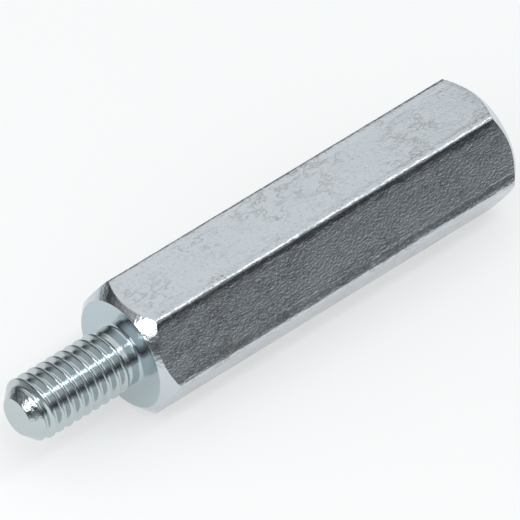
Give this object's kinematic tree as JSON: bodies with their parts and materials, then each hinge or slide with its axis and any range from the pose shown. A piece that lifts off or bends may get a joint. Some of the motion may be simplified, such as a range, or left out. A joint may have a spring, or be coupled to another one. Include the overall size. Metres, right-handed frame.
{
  "type": "male-female hex spacer",
  "caption": "Hexagonal threaded spacer: chamfered hexagon bar with a threaded stud on one end and a blind tapped hole in the other.",
  "frame": {"origin": "on the hexagon's axis, in the plane of the shoulder that the stud stands out of", "axes": "+X runs along the axis from the shoulder to the tapped end, so the stud points to -X; +Z is the outward normal of the upper flat, and the spacer lies on the flat opposite"},
  "size_m": [0.0257, 0.0062, 0.0054],
  "materials": {
    "zinc_plated_steel": "bright zinc plating with blue passivation over turned free-cutting steel"
  },
  "bodies": {
    "root": {"hex_spacer": "zinc_plated_steel"}
  },
  "joints": []
}
